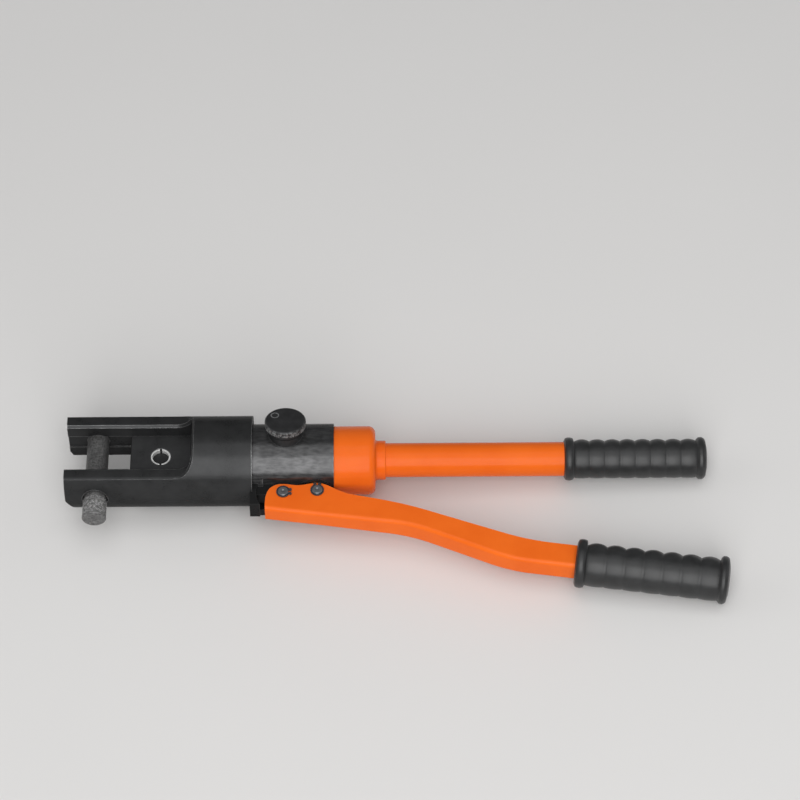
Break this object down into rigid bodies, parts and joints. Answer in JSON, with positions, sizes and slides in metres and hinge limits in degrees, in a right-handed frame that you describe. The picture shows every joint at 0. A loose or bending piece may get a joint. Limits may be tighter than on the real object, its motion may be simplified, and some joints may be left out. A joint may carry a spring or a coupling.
{
  "type": "hydraulic crimping tool",
  "caption": "Hand hydraulic crimping tool with a forked latch-pin head, sliding ram block, release knob, swinging pump lever and ribbed rubber grips.",
  "frame": {"origin": "centre of the ram block's front face, where the moving die rests, with the ram drawn back", "axes": "+X along the ram's axis from the latch pin towards the handles, -Y towards the lever, +Z square to the plane that the lever swings in, on the release knob's side"},
  "size_m": [0.4969, 0.1629, 0.077],
  "materials": {
    "black_oxide_steel": "satin black finish over forged and milled steel",
    "turned_dark_steel": "dark blackened steel with fine turning marks",
    "phosphated_steel": "grey phosphated steel, rough",
    "black_knob": "matt black, knurled rim",
    "orange_paint": "smooth orange powder paint",
    "grip_rubber": "soft moulded black rubber",
    "seal_rubber": "moulded nitrile",
    "backup_plastic": "off-white wear ring",
    "bronze": "machined bronze",
    "zinc_steel": "bright zinc",
    "black_fasteners": "blackened fasteners",
    "ground_steel": "ground and hardened",
    "spring_steel": "oiled spring wire",
    "brass_mesh": "fine woven mesh",
    "plug_aluminium": "as turned"
  },
  "bodies": {
    "tool_body": {"head_yoke": "black_oxide_steel", "rod_wiper": "seal_rubber", "rod_guide_bush": "bronze", "head_lock_screw": "black_fasteners", "pump_body": "turned_dark_steel", "spring_anchor_rear": "black_fasteners", "return_spring": "spring_steel", "plunger_gland": "bronze", "plunger_seal": "seal_rubber", "outlet_spring": "spring_steel", "outlet_spring_retainer": "black_fasteners", "inlet_spring": "spring_steel", "inlet_seat_screw": "black_fasteners", "suction_strainer": "brass_mesh", "relief_spring": "spring_steel", "relief_adjusting_screw": "black_fasteners", "release_bush": "black_fasteners", "fulcrum_pin": "zinc_steel", "fulcrum_clips": "black_fasteners", "reservoir_collar": "orange_paint", "collar_seal": "seal_rubber", "reservoir_tube": "orange_paint", "oil_bladder": "seal_rubber", "tube_end_plug": "plug_aluminium", "fixed_grip": "grip_rubber", "release_ball": "ground_steel"},
    "ram": {"ram_piston": "ground_steel", "piston_seal": "seal_rubber", "piston_backup_ring": "backup_plastic", "ram_block": "black_oxide_steel", "die_detent_ring": "zinc_steel", "die_detent_cap": "black_fasteners", "die_detent_spring": "spring_steel", "spring_anchor_front": "black_fasteners"},
    "die_detent_ball": {"die_detent_ball": "ground_steel"},
    "lever": {"lever": "orange_paint", "lever_grip": "grip_rubber", "drive_pin": "zinc_steel", "drive_pin_clips": "black_fasteners"},
    "pump_plunger": {"pump_plunger": "ground_steel"},
    "latch_pin": {"latch_pin": "phosphated_steel", "latch_friction_ring": "seal_rubber", "latch_knob": "phosphated_steel", "latch_knob_cross_pin": "zinc_steel"},
    "release_valve": {"release_stem": "black_oxide_steel", "release_stem_seal": "seal_rubber", "release_knob": "black_knob", "knob_grub_screw": "black_fasteners"},
    "outlet_ball": {"outlet_ball": "ground_steel"},
    "inlet_ball": {"inlet_ball": "ground_steel"},
    "relief_ball": {"relief_ball": "ground_steel"}
  },
  "joints": [
    {"name": "ram_stroke", "type": "slide", "parent": "tool_body", "child": "ram", "axis": [-1, 0, 0], "range_m": [0, 0.017], "stiffness_N_per_m": 3000, "springref_m": -0.02, "deforming": ["return_spring"]},
    {"name": "lever_swing", "type": "hinge", "parent": "tool_body", "child": "lever", "pos_m": [0.1163, -0.0347, 0], "axis": [0, 0, -1], "range_deg": [0, 35]},
    {"name": "plunger_travel", "type": "slide", "parent": "tool_body", "child": "pump_plunger", "axis": [0, -1, 0], "range_m": [0, 0.0152]},
    {"name": "latch_pull", "type": "slide", "parent": "tool_body", "child": "latch_pin", "axis": [0, -1, 0], "range_m": [0, 0.052]},
    {"name": "release_turn", "type": "hinge", "parent": "tool_body", "child": "release_valve", "pos_m": [0.1182, 0, 0], "axis": [0, 0.2419, 0.9703], "range_deg": [0, 180]},
    {"name": "outlet_ball_lift", "type": "slide", "parent": "tool_body", "child": "outlet_ball", "axis": [-1, 0, 0], "range_m": [0, 0.0008], "stiffness_N_per_m": 300, "springref_m": -0.002, "deforming": ["outlet_spring"]},
    {"name": "inlet_ball_lift", "type": "slide", "parent": "tool_body", "child": "inlet_ball", "axis": [-1, 0, 0], "range_m": [0, 0.0008], "stiffness_N_per_m": 300, "springref_m": -0.002, "deforming": ["inlet_spring"]},
    {"name": "relief_ball_lift", "type": "slide", "parent": "tool_body", "child": "relief_ball", "axis": [1, 0, 0], "range_m": [0, 0.0008], "stiffness_N_per_m": 2000, "springref_m": -0.004, "deforming": ["relief_spring"]},
    {"name": "die_detent_press", "type": "slide", "parent": "ram", "child": "die_detent_ball", "axis": [0, 0, 1], "range_m": [0, 0.0006], "stiffness_N_per_m": 400, "springref_m": -0.001, "deforming": ["die_detent_spring"]}
  ],
  "couplings": [
    {"joint": "plunger_travel", "follows": "lever_swing", "m_per_rad": 0.02442}
  ]
}
